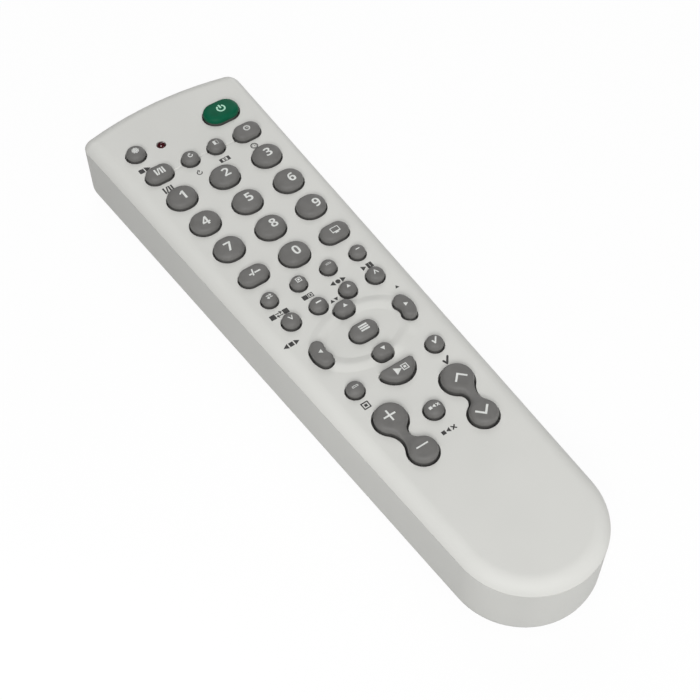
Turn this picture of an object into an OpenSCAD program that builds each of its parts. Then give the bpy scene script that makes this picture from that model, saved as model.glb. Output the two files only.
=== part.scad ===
// Handheld infrared remote control: two-part case, separate rubber keys, keypad mat, circuit board,
// two AAA cells and a sliding battery door. Millimetres. Origin in the middle of the resting face,
// +Y towards the infrared head, +Z up through the key face.

/* [Case] */
// Overall length, head arc to tail
body_l = 179; // [177:1:187]
// Width across the head end
head_w = 48; // [47.5:0.5:51]
// Width at the round tail
tail_w = 37; // [36.5:0.5:41]
// Height of the case without the keys
body_h = 20; // [20:0.5:24]
// Wall thickness of both halves
wall = 2; // [1.8:0.1:2.1]
// Radius of the rounded top edge, which ends in a crease over the side wall
edge_r = 5; // [4.6:0.1:5.4]
// Radius of the rounded bottom edge
base_r = 3.2; // [2.8:0.1:3.6]
// Radius of the arc of the head end
head_r = 92; // [84:1:110]

/* [Keys] */
// Column pitch of the number keys
pitch_x = 13; // [12.8:0.1:13.2]
// Row pitch of the number keys
pitch_y = 10.8; // [10.6:0.1:11]
// Length of a number key across the case
digit_l = 8.1; // [7.8:0.1:8.4]
// Width of a number key along the case
digit_d = 7.3; // [7:0.1:7.6]
// Height of the key tops above the face
key_proud = 2.2; // [1.8:0.1:2.4]
// Press travel of a key
key_travel = 0.8; // [0.6:0.1:0.8]
// Clearance between a key and its opening
key_gap = 0.25; // [0.2:0.05:0.3]

/* [Inside] */
// Thickness of the circuit board
board_t = 1.2; // [1:0.1:1.3]
// Diameter of a cell
cell_d = 10.3; // [10:0.1:10.5]
// Length of a cell with its nub
cell_l = 44.5; // [43.5:0.5:45]
// Width of the battery door
door_w = 27; // [26.5:0.5:28]

/* [Hidden] */
$fn = 64;

// case outline: tail circle, two straight tapering sides, corner arcs and the large head arc
y_head = body_l / 2;
y_tail = -body_l / 2;
tail_r = tail_w / 2;
tail_c = [0, y_tail + tail_r];
head_c = [0, y_head - head_r];
corner_r = 3.6;
corner_min = 0.9;
side_p = [head_w / 2, y_head - 8 - tail_c[1]];
side_a = atan2(side_p[1], side_p[0]) - acos(tail_r / norm(side_p));
side_n = [cos(side_a), sin(side_a)];
side_t = [-sin(side_a), cos(side_a)];
draft = 0.15;
tail_n = 36;
corner_n = 6;
head_k = 10;
edge_n = 8;

// heights, counted down from the key face and up from the resting face
top_depth = 2.6;
split_z = body_h - top_depth;
seam = 0.1;
ceil_z = body_h - wall;
rim_w = edge_r * sin(acos(1 - top_depth / edge_r));
inner_g = rim_w - (edge_r - wall) * sin(acos(1 - (top_depth - wall) / (edge_r - wall)));
cut_z0 = ceil_z - 1;
cut_z1 = body_h + 2;
flange_gap = 0.25;
flange_t = 0.95;
flange_w = 0.5;
key_z1 = ceil_z - flange_gap;
key_z0 = key_z1 - flange_t;
mat_t = 0.85;
key_rest = 0.4;
mat_z1 = key_z0 - key_travel - key_rest;
mat_z0 = mat_z1 - mat_t;
seat_gap = 0.05;
board_z1 = mat_z0 - seat_gap;
board_z0 = board_z1 - board_t;
board_inset = 4;
board_gap = 0.6;
mat_inset = 0.3;
y_board = y_head - 144;
hang_z = board_z0 - seat_gap;

// key rows and domes
dome_h = 1.5;
dome_n = 8;
dome_p = 2.5;
fan = 0.3;
row_dip = 0.2;
y_row1 = y_head - 16.8;
y_row2 = y_head - 26.7;
y_num = y_head - 37.4;
last_row = 3;
y_small1 = y_num - last_row * pitch_y - 8.4;
y_small2 = y_small1 - 8.5;
y_nav = y_head - 99.4;

// straight and round keys as [x, y, length across, width along], s being the side
pill_d = 5.4;
pill_l = 7.8;
power_key = [11.9, y_row1 + 0.3, 10.4, digit_d];
set_key = [-14.85, y_row1 - row_dip, pill_d, pill_d];
up_key = [0, y_nav + 8.2, 5.6, 4.4];
down_key = [0, y_nav - 7.7, 5.4, 4.3];
menu_key = [0, y_nav, 7.5, 5];
mute_key = [0, y_nav - 27.6, 5, 5];
function digit_key(c, r) = [c * (pitch_x - r * fan), y_num - r * pitch_y, digit_l, digit_d];
function dash_key(s) = let (k = digit_key(s, last_row)) [k[0], k[1], digit_l, pill_d];
function row2_out(s) = [s * 13.5, y_row2 - row_dip, pill_l, pill_d];
function row2_in(s) = [s * 3.97, y_row2, 4.9, 4.9];
function small1_out(s) = [s * 13.13, y_small1 - row_dip, 4.3, 4.3];
function small1_in(s) = [s * 4.43, y_small1, 4.3, 4.3];
function small2_out(s) = [s * 12.46, y_small2 - row_dip, 4.8, 4.8];
function small2_in(s) = [s * 4.36, y_small2, 4.6, 4.6];
function below_nav(s) = [s * 11.6, y_nav - 12.7, 4.6, 4.6];
flat_keys = concat([power_key, set_key, up_key, down_key, menu_key, mute_key, digit_key(0, last_row)],
    [for (c = [-1:1], r = [0:last_row - 1]) digit_key(c, r)],
    [for (s = [-1, 1]) each [dash_key(s), row2_out(s), row2_in(s), small1_out(s), small1_in(s),
        small2_out(s), small2_in(s), below_nav(s)]]);

// oval ring with a kidney key on each side, and the half-moon key under it
nav_lift = 0.3;
nav_rx = 12.1;
nav_ry = 8;
ridge_h = 0.5;
ridge_w = 2.94;
ridge_squash = 0.8;
ridge_sink = 0.02;
ridge_n = 72;
ridge_k = 9;
bean_r = 4.4;
bean_a = 26;
bean_d = 3.8;
bean_x = 12.7;
y_source = y_nav - 14.75;
source_r = 5.1;
source_w = 9.7;
source_d = 4.9;

// indicator
led_x = -7.3;
led_y = y_row1 - 0.4;
led_d = 2.4;
led_rim = 3;
led_gap = 0.15;

// rockers: two round lobes joined by a waisted neck
lobe_up = [9.65, y_head - 123.3];
lobe_dn = [8.65, y_head - 134.4];
lobe_r1 = 4.1;
lobe_r2 = 3.6;
neck_r = 5;
neck_top = 1.2;
neck_round = 3.2;
rock_gap = key_gap + 0.15;
rock_drop = 0.45;
lobe_drop = 0.2;
lobe_v = lobe_dn - lobe_up;
lobe_s = norm(lobe_v);
neck_u = (lobe_s * lobe_s + pow(lobe_r1 + neck_r, 2) - pow(lobe_r2 + neck_r, 2)) / (2 * lobe_s);
neck_v = sqrt(pow(lobe_r1 + neck_r, 2) - neck_u * neck_u);

// battery bay, door and contacts
door_t = 1.8;
slot_z = door_t + 0.2;
slide_gap = 0.2;
tongue = 1;
tongue_z = 0.9;
cell_gap = 0.3;
cell_z = slot_z + 0.1 + cell_d / 2;
cell_x = cell_d / 2 + 0.45;
bay_w = cell_x + cell_d / 2 + cell_gap;
bay_wall = 1.2;
plate_t = 0.4;
spring_l = 4.6;
bay_y0 = y_tail + 11;
plate_gap = 0.1;
bay_y1 = bay_y0 + cell_l + spring_l + 2 * plate_t + 3 * cell_gap;
door_y = bay_y1 + bay_wall + 1.4;
plate_w = 8.8;
ledge = 3;
ledge_t = 1.2;
bay_ceil = 0.8;
nub_l = 1;
nub_d = 3.8;
wire_r = 0.3;
wire_n = 6;
coil_r0 = 3.4;
coil_r1 = 2.2;
coil_turns = 3.5;
coil_n = 16;
grip_n = 6;
grip_w = 14;
grip_t = 1;

// screws, posts, lip and small parts
screw_x = head_w / 2 - 8;
screw_y = head_c[1] + sqrt(head_r * head_r - screw_x * screw_x) - 8.2;
screw_ty = y_tail + 6.6;
screw_d = 2.2;
screw_head_d = 3.8;
screw_head_t = 1.6;
screw_l = 9.5;
seat_z = 4.5;
boss_z = 10;
boss_d = 4.4;
tube_d = 6.4;
post_d = 3.2;
post_x = 15;
post_y = [y_head - 20, y_head - 84];
pin_d = 2;
lip_t = 0.85;
lip_h = 1.2;
lip_gap = 0.15;
thread_gap = 0.1;
thread_l = 5;
slot_l = 2.6;
slot_w = 0.6;
head_depth = 6;
ir_z = 8.5;
ir_d = 5;
ir_l = 6.2;
lead = 0.5;
lead_pitch = 2.54;
groove_r = 0.6;
groove_up = 0.42;
groove_a = 26;
drop_r = 6.5;
drop_rim = 0.3;
drop_h = 1.8;

// points along an arc about c, from angle a0 to a1 in n steps, leaving out skip at both ends
function arc(c, r, a0, a1, n, skip = 0) = [for (i = [skip:n - skip]) let (a = a0 + (a1 - a0) * i / n)
    c + r * [cos(a), sin(a)]];

// centre of the right head corner for an outline inset by g, with corner radius r
function corner_q(g, r) = tail_c + (tail_r - g - r) * side_n - head_c;
function corner_s(q, d) = sqrt(pow(q * side_t, 2) - q * q + d * d) - q * side_t;
function corner_at(g, r) = let (q = corner_q(g, r)) head_c + q + corner_s(q, head_r - g - r) * side_t;

// case outline inset by g, counterclockwise from the left side of the tail
function outline(g) = let (r = max(corner_r - g, corner_min), c = corner_at(g, r),
        a = atan2(c[1] - head_c[1], c[0]))
    concat(arc(tail_c, tail_r - g, 180 - side_a, 360 + side_a, tail_n),
        arc(c, r, side_a, a, corner_n),
        arc(head_c, head_r - g, a, 180 - a, head_k, 1),
        arc([-c[0], c[1]], r, 180 - a, 180 - side_a, corner_n));

// solid through outlines given as [inset, height] from the bottom up
module loft(rings) {
    n = len(outline(0));
    m = len(rings);
    polyhedron(points = [for (r = rings, p = outline(r[0])) [p[0], p[1], r[1]]],
        faces = concat([[for (i = [0:n - 1]) i]], [[for (i = [n - 1:-1:0]) (m - 1) * n + i]],
            [for (k = [0:m - 2], i = [0:n - 1], t = [0, 1]) let (p = k * n, q = p + n, j = (i + 1) % n)
                t == 0 ? [p + i, q + i, q + j] : [p + i, q + j, p + j]]));
}

// [inset, height] steps of a rim rounded by r that falls by d, its inner edge inset by g
function top_rim(g, r, d, z) = [for (i = [0:edge_n]) let (t = acos(1 - d / r) * (1 - i / edge_n))
    [g - r * sin(t), z - r * (1 - cos(t))]];
function base_rim(g, r, z) = [for (i = [edge_n:-2:0]) let (t = 90 * i / edge_n)
    [g + r * (1 - cos(t)), z + r * (1 - sin(t))]];

module case_slab(g, z0, z1) {
    translate([0, 0, z0]) linear_extrude(height = z1 - z0) polygon(outline(g));
}

// outside of the bottom half, up to height z
module base_solid(g, z0, z) {
    loft(concat(base_rim(g + draft, base_r - g, z0), [[g, z]]));
}

// keeps inner walls inside the case
module case_fill() intersection() {
    case_slab(wall / 2 + draft + 1, wall / 2, board_z0);
    children();
}

module block(x0, x1, y0, y1, z0, z1) {
    translate([x0, y0, z0]) cube([x1 - x0, y1 - y0, z1 - z0]);
}

module rod(x, y, d, z0, z1) {
    translate([x, y, z0]) cylinder(d = d, h = z1 - z0);
}

// domed key sections: half section for turning, full section for straight lengths
function dome(r, zt) = [for (i = [0:dome_n]) let (t = 90 * i / dome_n)
    [r * pow(cos(t), 2 / dome_p), zt - dome_h + dome_h * pow(sin(t), 2 / dome_p)]];
function half_key(r, zt, z0 = key_z0) = concat([[0, z0], [r + flange_w, z0],
    [r + flange_w, z0 + flange_t], [r, z0 + flange_t]], dome(r, zt));
function full_key(r, zt) = let (h = half_key(r, zt)) concat(h,
    [for (i = [len(h) - 2:-1:1]) [-h[i][0], h[i][1]]]);

// straight or round key from its [x, y, length, width]
module flat_key(k, lift = 0) {
    zt = body_h + key_proud + lift;
    half_l = (k[2] - k[3]) / 2;
    translate([k[0], k[1], 0])
        if (half_l > 0) {
            rotate([90, 0, 90]) translate([0, 0, -half_l])
                linear_extrude(height = 2 * half_l) polygon(full_key(k[3] / 2, zt));
            for (s = [-1, 1]) translate([s * half_l, 0, 0]) rotate([0, 0, -90 * s])
                rotate_extrude(angle = 180) polygon(half_key(k[3] / 2, zt));
        } else rotate_extrude() polygon(half_key(k[3] / 2, zt));
}

module flat_hole(k) {
    half_l = (k[2] - k[3]) / 2;
    d = k[3] + 2 * key_gap;
    for (s = half_l > 0 ? [-1, 1] : [0]) rod(k[0] + s * half_l, k[1], d, cut_z0, cut_z1);
    if (half_l > 0) block(k[0] - half_l, k[0] + half_l, k[1] - d / 2, k[1] + d / 2, cut_z0, cut_z1);
}

// kidney-shaped key on the right of the ring, its hollow towards the middle
module bean_key() {
    zt = body_h + key_proud + nav_lift;
    translate([bean_x - bean_r, y_nav, 0]) {
        rotate([0, 0, -bean_a]) rotate_extrude(angle = 2 * bean_a)
            translate([bean_r, 0]) polygon(full_key(bean_d / 2, zt));
        for (s = [-1, 1]) rotate([0, 0, s * bean_a]) translate([bean_r, 0, 0])
            rotate([0, 0, s > 0 ? 0 : 180]) rotate_extrude(angle = 180)
                polygon(half_key(bean_d / 2, zt));
    }
}

module bean_hole() {
    w = bean_d + 2 * key_gap;
    translate([bean_x - bean_r, y_nav, 0]) {
        rotate([0, 0, -bean_a]) rotate_extrude(angle = 2 * bean_a)
            translate([bean_r - w / 2, cut_z0]) square([w, cut_z1 - cut_z0]);
        for (s = [-1, 1]) rotate([0, 0, s * bean_a]) rod(bean_r, 0, w, cut_z0, cut_z1);
    }
}

// half-moon key under the ring: a round key trimmed by two bars of the same section
module moon_bar(r) {
    rotate([90, 0, 90]) translate([0, 0, -2 * source_r]) linear_extrude(height = 4 * source_r)
        polygon(full_key(r, body_h + key_proud));
}

module moon_key() {
    translate([0, y_source, 0]) intersection() {
        translate([0, source_d / 2, 0]) rotate_extrude()
            polygon(half_key(source_r, body_h + key_proud));
        moon_bar(source_d / 2);
        rotate([0, 0, 90]) moon_bar(source_w / 2);
    }
}

module moon_hole() {
    translate([0, y_source, 0]) intersection() {
        rod(0, source_d / 2, 2 * (source_r + key_gap), cut_z0, cut_z1);
        block(-source_w / 2 - key_gap, source_w / 2 + key_gap, -source_d, source_d / 2 + key_gap,
            cut_z0, cut_z1);
    }
}

// places its children along a rocker, from the upper lobe towards the lower one
module along_rocker() {
    translate([lobe_up[0], lobe_up[1], 0]) rotate([0, 0, atan2(lobe_v[1], lobe_v[0])]) children();
}

// neck between the rocker lobes in plan, grown by g
module neck(g, z0, z1) {
    difference() {
        translate([0, 0, z0]) linear_extrude(height = z1 - z0)
            polygon([[0, 0], [neck_u, -neck_v], [lobe_s, 0], [neck_u, neck_v]]);
        for (s = [-1, 1]) rod(neck_u, s * neck_v, 2 * (neck_r - g), z0 - 1, z1 + 1);
    }
}

module rocker() {
    zt = body_h + key_proud;
    z0 = key_z0 - rock_drop;
    along_rocker() {
        rotate_extrude() polygon(half_key(lobe_r1, zt, z0));
        translate([lobe_s, 0, 0]) rotate_extrude() polygon(half_key(lobe_r2, zt - lobe_drop, z0));
        intersection() {
            neck(0, z0, zt + 1);
            translate([-1, 0, body_h + neck_top - neck_round]) rotate([0, 90, 0])
                cylinder(r = neck_round, h = lobe_s + 2);
        }
    }
}

module rocker_hole() {
    along_rocker() {
        rod(0, 0, 2 * (lobe_r1 + rock_gap), cut_z0, cut_z1);
        rod(lobe_s, 0, 2 * (lobe_r2 + rock_gap), cut_z0, cut_z1);
        neck(rock_gap, cut_z0, cut_z1);
    }
}

module screw_spots() {
    for (s = [-1, 1]) translate([s * screw_x, screw_y, 0]) children();
    translate([0, screw_ty, 0]) children();
}

// raised oval ring around the menu key: a crest swept round, sunk halfway into the wall
function ridge_at(i, j) = let (a = 360 * i / ridge_n, foot = j == 0 || j == ridge_k + 1,
        o = ridge_w * (foot ? sign(j - 1) : 2 * (j - 1) / (ridge_k - 1) - 1))
    [(nav_rx + o) * cos(a), (nav_ry + ridge_squash * o) * sin(a),
        foot ? body_h - wall / 2 : body_h + ridge_h * (cos(180 * o / ridge_w) + 1) / 2 - ridge_sink];

module nav_ridge() {
    q = ridge_k + 2;
    translate([0, y_nav, 0]) polyhedron(
        points = [for (i = [0:ridge_n - 1], j = [0:q - 1]) ridge_at(i, j)],
        faces = [for (i = [0:ridge_n - 1], j = [0:q - 1], t = [0, 1])
            let (i2 = (i + 1) % ridge_n, j2 = (j + 1) % q)
            t == 0 ? [i * q + j, i2 * q + j2, i * q + j2] : [i * q + j, i2 * q + j, i2 * q + j2]]);
}

module top_shell() color("white") difference() {
    union() {
        difference() {
            loft(top_rim(rim_w, edge_r, top_depth - seam / 2, body_h));
            loft(concat([[inner_g, split_z - 1]], top_rim(rim_w, edge_r - wall, top_depth - wall, ceil_z)));
        }
        // lip that locates the bottom half
        difference() {
            case_slab(wall + lip_gap, split_z - lip_h, ceil_z - seam);
            case_slab(wall + lip_gap + lip_t, split_z - 2 * lip_h, ceil_z);
        }
        nav_ridge();
        // screw bosses, and pins that hold the mat down on the board
        screw_spots() rod(0, 0, boss_d, boss_z, ceil_z + wall / 4);
        for (x = [-0.5, 0.5], r = [0.5, 2.5]) let (k = digit_key(x, r))
            rod(k[0], k[1], pin_d, mat_z1 + seat_gap, ceil_z + wall / 4);
    }
    screw_spots() rod(0, 0, screw_d + thread_gap, boss_z - 1, boss_z + thread_l);
    // shallow arc groove across the second row
    translate([head_c[0], head_c[1], body_h + groove_up]) rotate([0, 0, 90 - groove_a / 2])
        rotate_extrude(angle = groove_a) translate([y_row2 - head_c[1], 0]) circle(groove_r);
    rod(led_x, led_y, led_d + 2 * led_gap, cut_z0, cut_z1);
    for (k = flat_keys) flat_hole(k);
    for (m = [0, 1]) mirror([m, 0, 0]) {
        bean_hole();
        rocker_hole();
    }
    moon_hole();
}

module bottom_shell() color("whitesmoke") difference() {
    union() {
        difference() {
            base_solid(0, 0, split_z - seam / 2);
            base_solid(wall, wall, split_z + 1);
        }
        // battery bay, and the ledge over the door slot
        case_fill() difference() {
            union() {
                block(-bay_w - bay_wall, bay_w + bay_wall, bay_y0 - bay_wall, bay_y1 + bay_wall,
                    wall / 2, board_z0);
                block(-door_w / 2 - ledge, door_w / 2 + ledge, y_tail, door_y + ledge / 2,
                    slot_z, slot_z + ledge_t);
            }
            block(-bay_w, bay_w, bay_y0, bay_y1, -1, board_z0 - bay_ceil);
        }
        // board posts, screw tubes
        for (s = [-1, 1], y = post_y) rod(s * post_x, y, post_d, wall / 2, board_z0);
        screw_spots() rod(0, 0, tube_d, wall / 2, boss_z - lip_gap);
    }
    // slot that takes the door, open at the tail
    door_slab(slide_gap, -1, slot_z);
    door_slab(slide_gap + tongue, tongue_z - slide_gap, slot_z);
    screw_spots() {
        rod(0, 0, screw_d + 2 * slide_gap, 0, boss_z + 1);
        rod(0, 0, screw_head_d + 3 * slide_gap, -1, seat_z);
    }
    translate([0, y_head - head_depth, ir_z]) rotate([-90, 0, 0])
        cylinder(d = ir_d + 2 * led_gap, h = 2 * head_depth);
}

// slab of the door's plan, wider by g each side and longer by the sliding gap
module door_slab(g, z0, z1) {
    block(-door_w / 2 - g, door_w / 2 + g, y_tail - tail_r, door_y + min(g, slide_gap), z0, z1);
}

module battery_door() color("gainsboro") difference() {
    intersection() {
        base_solid(0, 0, split_z);
        union() {
            door_slab(0, -1, door_t);
            intersection() {
                door_slab(tongue, tongue_z, door_t);
                block(-door_w, door_w, y_tail - tail_r, door_y, 0, body_h);
            }
        }
    }
    // thumb grooves that narrow to an arrow
    for (i = [0:grip_n - 1]) let (w = grip_w / 2 - 0.6 * grip_t * i, y = door_y - (5 + 2 * i) * grip_t)
        block(-w, w, y - grip_t, y, -1, grip_t / 2);
}

module keypad_mat() color("dimgray") difference() {
    intersection() {
        case_slab(board_inset + mat_inset, mat_z0, mat_z1);
        block(-head_w, head_w, y_board + mat_inset, y_head, 0, body_h);
    }
    screw_spots() rod(0, 0, boss_d + board_gap + seat_gap, 0, body_h);
    rod(led_x, led_y, led_rim + 2 * board_gap, 0, body_h);
}

module circuit_board() color("darkgreen") difference() {
    intersection() {
        case_slab(board_inset, board_z0, board_z1);
        block(-head_w, head_w, y_board, y_head, 0, body_h);
    }
    screw_spots() rod(0, 0, boss_d + board_gap, 0, body_h);
}

module ir_led() color("lightsteelblue") {
    y0 = y_head - head_depth - 3;
    translate([0, y0, ir_z]) rotate([-90, 0, 0]) {
        cylinder(d = ir_d + 0.9, h = 1);
        cylinder(d = ir_d, h = ir_l);
        translate([0, 0, ir_l]) intersection() {
            sphere(d = ir_d);
            translate([0, 0, ir_d / 2 - 0.5]) cube([2 * ir_d, 2 * ir_d, ir_d - 0.8], center = true);
        }
    }
    // leads, bent up to the board
    for (s = [-1, 1]) let (x0 = (s * lead_pitch - lead) / 2, x1 = x0 + lead) {
        block(x0, x1, y0 - 4 * lead, y0 + lead, ir_z - lead / 2, ir_z + lead / 2);
        block(x0, x1, y0 - 4 * lead, y0 - 3 * lead, ir_z - lead / 2, hang_z);
    }
}

module indicator_led() color("red") {
    lens_z = body_h - led_d / 5;
    translate([led_x, led_y, 0]) {
        translate([0, 0, lens_z]) intersection() {
            sphere(d = led_d);
            rod(0, 0, 2 * led_d, -led_d / 4, led_d);
        }
        rod(0, 0, led_d, key_z1 - flange_gap, lens_z);
        rod(0, 0, led_rim, key_z0 - key_rest, key_z1);
        for (s = [-1, 1]) translate([s * 0.7, 0, 0])
            block(-lead / 2, lead / 2, -lead / 2, lead / 2, board_z1 + seat_gap, key_z0);
    }
}

// bare chip under a flat drop of resin
module controller_chip() color("black") translate([0, y_head - 52, hang_z]) mirror([0, 0, 1])
    rotate_extrude() polygon(concat([[0, 0], [drop_r, 0]], [for (i = [0:8]) let (t = 90 * i / 8)
        [drop_r * cos(t), drop_rim + (drop_h - drop_rim) * sin(t)]]));

module resonator() color("goldenrod") translate([10.5, y_head - 34.7, hang_z]) {
    block(-3.5, 3.5, -1.3, 1.3, -7, -2);
    for (s = [-1, 1]) translate([s * lead_pitch, 0, 0])
        block(-lead / 2, lead / 2, -lead / 2, lead / 2, -2.5, 0);
}

module capacitor() color("navy") translate([-9.5, y_head - 34, hang_z]) {
    rod(0, 0, 5, -8, -0.6);
    for (s = [-1, 1]) rod(s, 0, lead, -1, 0);
}

module transistor() color("black") translate([8, y_head - 20, hang_z]) {
    difference() {
        rod(0, 0, 4.6, -6.5, -2);
        block(-3, 3, 1.3, 4, -8, 0);
    }
    for (s = [-1:1]) rod(s * lead_pitch / 2, 0, lead, -2.5, 0);
}

module resistors() color("burlywood") for (y = [y_head - 22, y_head - 26.5]) translate([-9, y, hang_z]) {
    translate([-3, 0, -1.2]) rotate([0, 90, 0]) cylinder(d = 2, h = 6);
    translate([-4.5, 0, -1.2]) rotate([0, 90, 0]) cylinder(d = lead, h = 9);
    for (s = [-1, 1]) rod(s * 4.4, 0, lead, -1.2, 0);
}

// one cell along Y with its nub towards +Y, tip at the given place
module cell(x, tip) {
    translate([x, tip, cell_z]) rotate([90, 0, 0]) {
        cylinder(d = nub_d, h = nub_l + 1);
        translate([0, 0, nub_l]) cylinder(d = cell_d, h = cell_l - nub_l);
    }
}

module battery_cell_left() color("orange") cell(-cell_x, bay_y1 - plate_t - cell_gap);

module battery_cell_right() color("orange") mirror([0, 1, 0])
    cell(cell_x, -(bay_y0 + plate_t + cell_gap));

// conical contact spring of round wire, standing on its wide end along +Z
function wire_at(i, k) = let (t = i / (coil_turns * coil_n), a = 360 * i / coil_n, b = 360 * k / wire_n,
        r = coil_r0 + (coil_r1 - coil_r0) * t + wire_r * cos(b))
    [r * cos(a), r * sin(a), wire_r + (spring_l - 2 * wire_r) * t + wire_r * sin(b)];

module spring() {
    n = coil_turns * coil_n;
    polyhedron(points = [for (i = [0:n], k = [0:wire_n - 1]) wire_at(i, k)],
        faces = concat([[for (k = [wire_n - 1:-1:0]) k]], [[for (k = [0:wire_n - 1]) n * wire_n + k]],
            [for (i = [0:n - 1], k = [0:wire_n - 1], t = [0, 1])
                let (p = i * wire_n, q = p + wire_n, j = (k + 1) % wire_n)
                t == 0 ? [p + k, p + j, q + j] : [p + k, q + j, q + k]]));
}

module battery_springs() color("silver") {
    translate([-cell_x, bay_y0 + plate_gap + plate_t + seat_gap, cell_z]) rotate([-90, 0, 0]) spring();
    translate([cell_x, bay_y1 - plate_gap - plate_t - seat_gap, cell_z]) rotate([90, 0, 0]) spring();
}

// one plate that joins the two cells, and one for each lead
module battery_plates() color("silver") {
    z0 = cell_z - plate_w / 2;
    z1 = cell_z + plate_w / 2;
    y0 = bay_y0 + plate_gap;
    y1 = bay_y1 - plate_gap;
    block(-cell_x - plate_w / 2, cell_x + plate_w / 2, y0, y0 + plate_t, z0, z1);
    for (s = [-1, 1]) block(s * cell_x - plate_w / 2, s * cell_x + plate_w / 2, y1 - plate_t, y1, z0, z1);
}

module case_screws() color("silver") screw_spots() difference() {
    union() {
        rod(0, 0, screw_d, seat_z - seat_gap, seat_z + screw_l);
        rod(0, 0, screw_head_d, seat_z - screw_head_t, seat_z - seat_gap);
    }
    for (a = [0, 90]) rotate([0, 0, a])
        block(-slot_l / 2, slot_l / 2, -slot_w / 2, slot_w / 2, 0, seat_z - screw_head_t / 2);
}

module key_power() color("seagreen") flat_key(power_key);
module key_set() color("gray") flat_key(set_key);
module key_dual_sound() color("gray") flat_key(row2_out(-1));
module key_system() color("gray") flat_key(row2_in(-1));
module key_picture_mode() color("gray") flat_key(row2_in(1));
module key_timer() color("gray") flat_key(row2_out(1));
module key_1() color("gray") flat_key(digit_key(-1, 0));
module key_2() color("gray") flat_key(digit_key(0, 0));
module key_3() color("gray") flat_key(digit_key(1, 0));
module key_4() color("gray") flat_key(digit_key(-1, 1));
module key_5() color("gray") flat_key(digit_key(0, 1));
module key_6() color("gray") flat_key(digit_key(1, 1));
module key_7() color("gray") flat_key(digit_key(-1, 2));
module key_8() color("gray") flat_key(digit_key(0, 2));
module key_9() color("gray") flat_key(digit_key(1, 2));
module key_0() color("gray") flat_key(digit_key(0, last_row));
module key_dash() color("gray") flat_key(dash_key(-1));
module key_recall() color("gray") flat_key(dash_key(1));
module key_exchange() color("gray") flat_key(small1_out(-1));
module key_inset() color("gray") flat_key(small1_in(-1));
module key_normal() color("gray") flat_key(small1_in(1));
module key_call() color("gray") flat_key(small1_out(1));
module key_chevron_down() color("gray") flat_key(small2_out(-1));
module key_bar() color("gray") flat_key(small2_in(-1));
module key_triangle() color("gray") flat_key(small2_in(1));
module key_chevron_up() color("gray") flat_key(small2_out(1));
module key_nav_up() color("gray") flat_key(up_key, nav_lift);
module key_nav_down() color("gray") flat_key(down_key, nav_lift);
module key_menu() color("gray") flat_key(menu_key);
module key_window() color("gray") flat_key(below_nav(-1));
module key_confirm() color("gray") flat_key(below_nav(1));
module key_mute() color("gray") flat_key(mute_key);
module key_nav_left() color("gray") mirror([1, 0, 0]) bean_key();
module key_nav_right() color("gray") bean_key();
module key_source() color("gray") moon_key();
module rocker_volume() color("gray") mirror([1, 0, 0]) rocker();
module rocker_channel() color("gray") rocker();

top_shell();
bottom_shell();
battery_door();
keypad_mat();
circuit_board();
ir_led();
indicator_led();
controller_chip();
resonator();
capacitor();
transistor();
resistors();
battery_cell_left();
battery_cell_right();
battery_springs();
battery_plates();
case_screws();
key_power();
key_set();
key_dual_sound();
key_system();
key_picture_mode();
key_timer();
key_1();
key_2();
key_3();
key_4();
key_5();
key_6();
key_7();
key_8();
key_9();
key_0();
key_dash();
key_recall();
key_exchange();
key_inset();
key_normal();
key_call();
key_chevron_down();
key_bar();
key_triangle();
key_chevron_up();
key_nav_up();
key_nav_down();
key_nav_left();
key_nav_right();
key_menu();
key_source();
key_window();
key_confirm();
key_mute();
rocker_volume();
rocker_channel();
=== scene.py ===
"""Looks of a handheld infrared remote control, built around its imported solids.

Sizes in the classes are millimetres and angles are degrees, unless a class says otherwise; MM turns
millimetres into metres, and points closer than WELD are one.
"""

import logging
import math
from dataclasses import dataclass
from enum import Enum

import bmesh
import bpy
from mathutils import Matrix, Vector
from mathutils.bvhtree import BVHTree


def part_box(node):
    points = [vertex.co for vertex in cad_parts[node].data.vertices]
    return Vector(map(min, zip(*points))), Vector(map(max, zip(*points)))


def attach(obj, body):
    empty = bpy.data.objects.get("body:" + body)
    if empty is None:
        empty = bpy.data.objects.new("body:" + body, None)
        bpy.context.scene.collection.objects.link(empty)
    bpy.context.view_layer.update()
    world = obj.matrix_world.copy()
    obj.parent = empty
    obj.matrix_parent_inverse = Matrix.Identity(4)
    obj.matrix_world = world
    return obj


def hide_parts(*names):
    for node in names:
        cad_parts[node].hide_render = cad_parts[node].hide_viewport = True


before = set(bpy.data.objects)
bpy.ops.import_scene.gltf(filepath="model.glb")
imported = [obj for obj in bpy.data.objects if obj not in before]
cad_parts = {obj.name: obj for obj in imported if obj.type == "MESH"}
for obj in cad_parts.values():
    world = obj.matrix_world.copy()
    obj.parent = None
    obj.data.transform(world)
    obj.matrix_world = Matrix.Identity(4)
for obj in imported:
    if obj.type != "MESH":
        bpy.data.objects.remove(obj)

LOG = logging.getLogger("remote")
MM = 0.001
WELD = 0.002 * MM
CASE = "case"
DOWN = Vector((0, 0, -1))
WHITE = (255, 255, 255)
Colour = tuple[int, int, int]
Place = tuple[float, float, float]

# a Mix node's sockets go by number, because each of its data types repeats their names
MIX_FACTOR, MIX_LOW, MIX_HIGH, MIX_RESULT = 0, 6, 7, 2


def linear(colour: Colour) -> tuple[float, ...]:
    """Turns a display colour into scene light by the sRGB curve.

    Args:
        colour: red, green and blue from 0 to 255, as a screen shows them.

    Returns:
        The same colour as linear red, green and blue, and an alpha of 1.
    """
    parts = [c / 255 for c in colour]
    return (*[p / 12.92 if p <= 0.04045 else ((p + 0.055) / 1.055) ** 2.4 for p in parts], 1.0)


class Axis(Enum):
    """Output of a Separate XYZ node that a pattern runs along."""

    X = "X"
    Y = "Y"
    Z = "Z"


class End(Enum):
    """End of the case that something points to, as a direction along Y."""

    HEAD = 1
    TAIL = -1


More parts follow.
